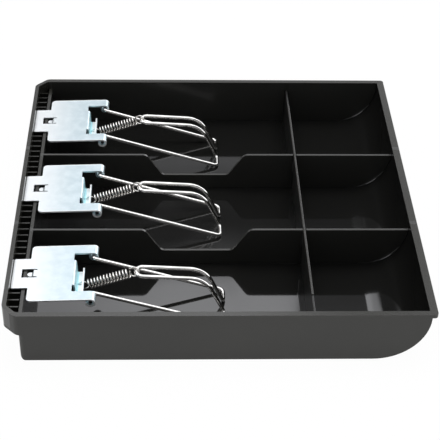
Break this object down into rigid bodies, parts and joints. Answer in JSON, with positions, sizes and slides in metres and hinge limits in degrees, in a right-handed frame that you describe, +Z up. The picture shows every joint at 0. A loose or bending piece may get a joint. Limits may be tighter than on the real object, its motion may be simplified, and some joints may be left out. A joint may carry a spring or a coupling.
{
  "type": "cash drawer insert",
  "caption": "Black plastic cash drawer insert with open bill bays, round-ended coin cups, a lift-out coin divider and sprung wire bill bails clipped to a ribbed rail.",
  "frame": {"origin": "middle of the underside of the tray, on the plane it rests on", "axes": "+X from the clip rail towards the coin cups, +Y from the near side to the far side, +Z up"},
  "size_m": [0.245, 0.245, 0.034],
  "materials": {
    "black_plastic": "glossy inside, satin outside",
    "zinc_sheet": "bright zinc plate",
    "chrome_wire": "bright",
    "spring_wire": "bright nickel"
  },
  "bodies": {
    "tray": {"tray": "black_plastic", "clip_plate_front": "zinc_sheet", "clip_plate_middle": "zinc_sheet", "clip_plate_back": "zinc_sheet"},
    "coin_divider": {"coin_divider": "black_plastic"},
    "bail_front": {"bail_front": "chrome_wire"},
    "spring_front": {"spring_front": "spring_wire"},
    "bail_middle": {"bail_middle": "chrome_wire"},
    "spring_middle": {"spring_middle": "spring_wire"},
    "bail_back": {"bail_back": "chrome_wire"},
    "spring_back": {"spring_back": "spring_wire"}
  },
  "joints": [
    {"name": "coin_divider_lift", "type": "slide", "parent": "tray", "child": "coin_divider", "axis": [0, 0, 1], "range_m": [0, 0.04]},
    {"name": "bail_hinge_front", "type": "hinge", "parent": "tray", "child": "bail_front", "pos_m": [-0.07351, -0.081, 0.02801], "axis": [0, -1, 0], "range_deg": [0, 95], "stiffness_Nm_per_rad": 0.03, "springref_deg": -28.65, "deforming": ["spring_front"]},
    {"name": "spring_swing_front", "type": "hinge", "parent": "tray", "child": "spring_front", "pos_m": [-0.07897, -0.081, 0.02023], "axis": [0, -1, 0], "range_deg": [0, 70.3]},
    {"name": "bail_hinge_middle", "type": "hinge", "parent": "tray", "child": "bail_middle", "pos_m": [-0.07351, 0.001, 0.02801], "axis": [0, -1, 0], "range_deg": [0, 95], "stiffness_Nm_per_rad": 0.03, "springref_deg": -28.65, "deforming": ["spring_middle"]},
    {"name": "spring_swing_middle", "type": "hinge", "parent": "tray", "child": "spring_middle", "pos_m": [-0.07897, 0.001, 0.02023], "axis": [0, -1, 0], "range_deg": [0, 70.3]},
    {"name": "bail_hinge_back", "type": "hinge", "parent": "tray", "child": "bail_back", "pos_m": [-0.07351, 0.077, 0.02801], "axis": [0, -1, 0], "range_deg": [0, 95], "stiffness_Nm_per_rad": 0.03, "springref_deg": -28.65, "deforming": ["spring_back"]},
    {"name": "spring_swing_back", "type": "hinge", "parent": "tray", "child": "spring_back", "pos_m": [-0.07897, 0.077, 0.02023], "axis": [0, -1, 0], "range_deg": [0, 70.3]}
  ],
  "couplings": [
    {"joint": "spring_swing_front", "follows": "bail_hinge_front", "ratio": 0.7392},
    {"joint": "spring_swing_middle", "follows": "bail_hinge_middle", "ratio": 0.7392},
    {"joint": "spring_swing_back", "follows": "bail_hinge_back", "ratio": 0.7392}
  ]
}
